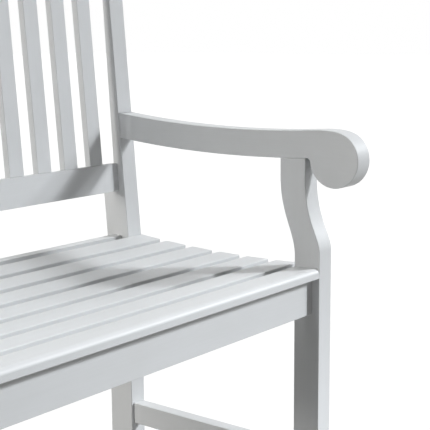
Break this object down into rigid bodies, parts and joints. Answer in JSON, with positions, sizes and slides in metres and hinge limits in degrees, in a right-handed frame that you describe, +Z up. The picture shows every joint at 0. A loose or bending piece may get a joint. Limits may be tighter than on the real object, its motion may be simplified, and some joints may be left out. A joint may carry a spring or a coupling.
{
  "type": "rocking bench",
  "caption": "Painted slatted wooden bench on two curved rockers, with scroll-ended arms on swan-neck legs and a leaning back of upright slats.",
  "frame": {"origin": "on the floor under the middle of the bench, where the two rockers touch down at rest", "axes": "+X along the bench to the right as seen from the front, +Y from the seat's front to its back, +Z up"},
  "size_m": [1.177, 0.7, 1.0685],
  "materials": {
    "frame_paint": "satin",
    "seat_paint": "satin",
    "zinc_steel": "satin"
  },
  "bodies": {
    "root": {"arm_lag_bolt_left": "zinc_steel", "arm_lag_bolt_right": "zinc_steel", "arm_left": "frame_paint", "arm_right": "frame_paint", "back_lower_rail": "frame_paint", "back_lower_rail_bolt_left": "zinc_steel", "back_lower_rail_bolt_right": "zinc_steel", "back_lower_rail_nut_left": "zinc_steel", "back_lower_rail_nut_right": "zinc_steel", "back_slat_1": "frame_paint", "back_slat_10": "frame_paint", "back_slat_11": "frame_paint", "back_slat_12": "frame_paint", "back_slat_13": "frame_paint", "back_slat_14": "frame_paint", "back_slat_15": "frame_paint", "back_slat_16": "frame_paint", "back_slat_17": "frame_paint", "back_slat_18": "frame_paint", "back_slat_2": "frame_paint", "back_slat_3": "frame_paint", "back_slat_4": "frame_paint", "back_slat_5": "frame_paint", "back_slat_6": "frame_paint", "back_slat_7": "frame_paint", "back_slat_8": "frame_paint", "back_slat_9": "frame_paint", "crest_rail": "frame_paint", "front_apron": "frame_paint", "front_apron_bolt_left": "zinc_steel", "front_apron_bolt_right": "zinc_steel", "front_apron_nut_left": "zinc_steel", "front_apron_nut_right": "zinc_steel", "front_foot_lag_bolt_left": "zinc_steel", "front_foot_lag_bolt_right": "zinc_steel", "front_leg_left": "frame_paint", "front_leg_right": "frame_paint", "rear_apron": "frame_paint", "rear_apron_bolt_left": "zinc_steel", "rear_apron_bolt_right": "zinc_steel", "rear_apron_nut_left": "zinc_steel", "rear_apron_nut_right": "zinc_steel", "rear_foot_lag_bolt_left": "zinc_steel", "rear_foot_lag_bolt_right": "zinc_steel", "rear_post_left": "frame_paint", "rear_post_right": "frame_paint", "rocker_left": "frame_paint", "rocker_right": "frame_paint", "seat_centre_bearer": "frame_paint", "seat_front_slat": "seat_paint", "seat_side_rail_left": "frame_paint", "seat_side_rail_right": "frame_paint", "seat_slat_1": "seat_paint", "seat_slat_2": "seat_paint", "seat_slat_3": "seat_paint", "seat_slat_4": "seat_paint", "seat_slat_5": "seat_paint", "seat_slat_6": "seat_paint", "side_stretcher_left": "frame_paint", "side_stretcher_right": "frame_paint"}
  },
  "joints": []
}
